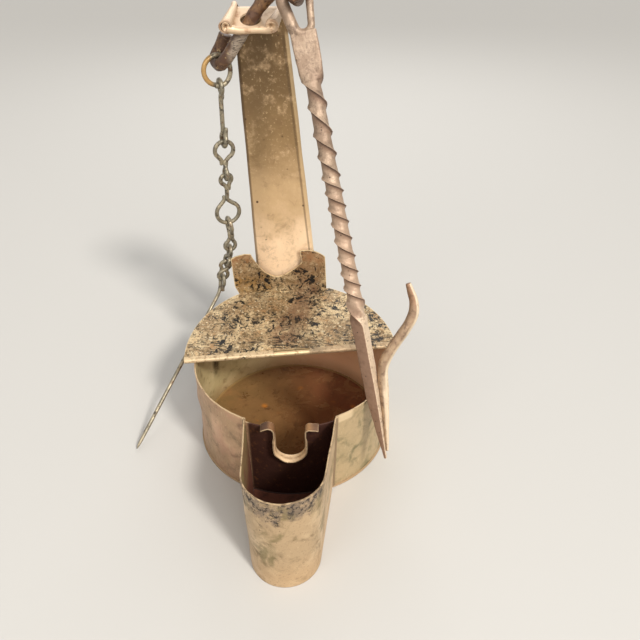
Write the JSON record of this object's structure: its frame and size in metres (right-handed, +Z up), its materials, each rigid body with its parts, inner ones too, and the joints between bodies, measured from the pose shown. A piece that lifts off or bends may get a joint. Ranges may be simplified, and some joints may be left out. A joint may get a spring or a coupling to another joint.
{
  "type": "betty lamp",
  "caption": "Tin grease lamp with a round pan, a drip spout, a hinged lid, a strap handle, a twisted iron hanger with spike and hook, and a wick pick on a wire chain.",
  "frame": {"origin": "middle of the underside of the pan's floor, on the table", "axes": "+Z up, -Y out along the spout, +X to the right as seen from the spout"},
  "size_m": [0.1072, 0.1196, 0.1656],
  "materials": {
    "tin_pan": "dull tarnished tinplate, dusty and scratched",
    "tin_floor": "dark brown oil-varnished tinplate",
    "tin_spout": "dull tinplate, sooted below the lip",
    "tin_bright": "rubbed bright tinplate edge",
    "tin_lid": "pitted and sooted tinplate",
    "tin_handle": "mottled brown tinplate",
    "iron_dark": "rusty forged iron",
    "iron_pale": "dusty grey wrought iron",
    "steel_wire": "dull grey wire"
  },
  "bodies": {
    "lamp": {"pan_wall": "tin_pan", "pan_floor": "tin_floor", "spout_wall": "tin_spout", "spout_floor": "tin_floor", "wick_trough": "tin_bright", "rear_cover": "tin_lid", "hinge_wire": "iron_dark", "handle_strap": "tin_handle"},
    "lid": {"front_lid": "tin_lid"},
    "link": {"swivel_link": "iron_dark"},
    "hanger": {"hanger_bar": "iron_pale", "hanger_hook": "iron_pale"},
    "ring": {"chain_ring": "steel_wire"},
    "chain_1": {"chain_link_1": "steel_wire"},
    "chain_2": {"chain_link_2": "steel_wire"},
    "chain_3": {"chain_link_3": "steel_wire"},
    "chain_4": {"chain_link_4": "steel_wire"},
    "chain_5": {"chain_link_5": "steel_wire"},
    "chain_6": {"chain_link_6": "steel_wire"},
    "pick": {"wick_pick": "steel_wire"}
  },
  "joints": [
    {"name": "lid_hinge", "type": "hinge", "parent": "lamp", "child": "lid", "pos_m": [0, 0, 0.03756], "axis": [0.9984, 0.0558, 0], "range_deg": [0, 145]},
    {"name": "link_sway", "type": "hinge", "parent": "lamp", "child": "link", "pos_m": [-0.00937, 0.02784, 0.15216], "axis": [0.3518, -0.9361, 0], "range_deg": [0, 8.3]},
    {"name": "hanger_swing", "type": "hinge", "parent": "link", "child": "hanger", "pos_m": [0.00523, 0.01864, 0.15956], "axis": [-0.0678, -0.9334, 0.3523], "range_deg": [0, 165]},
    {"name": "ring_swing", "type": "hinge", "parent": "link", "child": "ring", "pos_m": [-0.02137, 0.03334, 0.13746], "axis": [0.3518, -0.9361, 0], "range_deg": [-8.3, 0]},
    {"name": "chain_1_swing", "type": "hinge", "parent": "ring", "child": "chain_1", "pos_m": [-0.02137, 0.03334, 0.13041], "axis": [0.9361, 0.3518, 0], "range_deg": [0, 25]},
    {"name": "chain_2_swing", "type": "hinge", "parent": "chain_1", "child": "chain_2", "pos_m": [-0.02231, 0.03584, 0.10834], "axis": [-0.3502, 0.9316, 0.0976], "range_deg": [0, 25]},
    {"name": "chain_3_swing", "type": "hinge", "parent": "chain_2", "child": "chain_3", "pos_m": [-0.02278, 0.03707, 0.09496], "axis": [-0.3502, 0.9316, 0.0976], "range_deg": [0, 25]},
    {"name": "chain_4_swing", "type": "hinge", "parent": "chain_3", "child": "chain_4", "pos_m": [-0.02345, 0.03885, 0.0755], "axis": [0.9361, 0.3518, 0], "range_deg": [0, 25]},
    {"name": "chain_5_swing", "type": "hinge", "parent": "chain_4", "child": "chain_5", "pos_m": [-0.0239, 0.04006, 0.06231], "axis": [0.8999, 0.3635, -0.2408], "range_deg": [0, 25]},
    {"name": "chain_6_swing", "type": "hinge", "parent": "chain_5", "child": "chain_6", "pos_m": [-0.02656, 0.04038, 0.05505], "axis": [-0.3361, 0.9301, 0.148], "range_deg": [0, 25]},
    {"name": "pick_swing", "type": "hinge", "parent": "chain_6", "child": "pick", "pos_m": [-0.02869, 0.04078, 0.04772], "axis": [0.8999, 0.3635, -0.2408], "range_deg": [0, 40]}
  ],
  "couplings": [
    {"joint": "link_sway", "follows": "lid_hinge", "ratio": 0.05655},
    {"joint": "ring_swing", "follows": "lid_hinge", "ratio": -0.05655}
  ]
}
